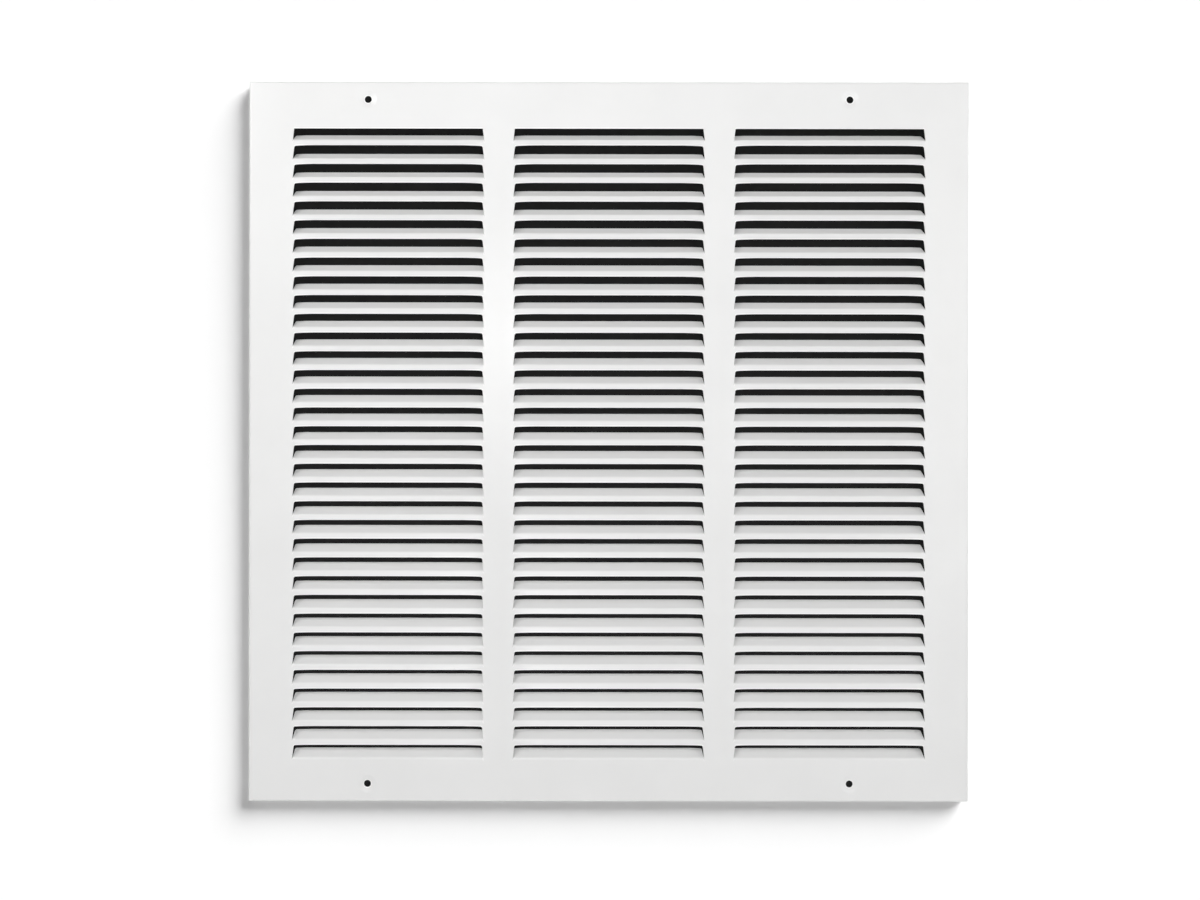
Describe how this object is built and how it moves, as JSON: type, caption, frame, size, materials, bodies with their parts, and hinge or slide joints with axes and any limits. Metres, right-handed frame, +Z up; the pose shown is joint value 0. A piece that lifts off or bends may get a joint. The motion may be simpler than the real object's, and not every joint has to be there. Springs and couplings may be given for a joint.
{
  "type": "return air grille",
  "caption": "Square flat wall grille pressed from one white sheet, with columns of inward-sloping lanced louvres, a folded-back rim and dimpled screw holes.",
  "frame": {"origin": "middle of the part's box, halfway between the front of the louvre strips and the rear edge of the rim", "axes": "the face looks along -Y, +Y points into the wall, +Z is up, and +X is to the right as seen from the front"},
  "size_m": [0.5016, 0.0086, 0.5016],
  "materials": {
    "white_enamel": "satin white baked enamel on steel"
  },
  "bodies": {
    "root": {"grille_panel": "white_enamel"}
  },
  "joints": []
}
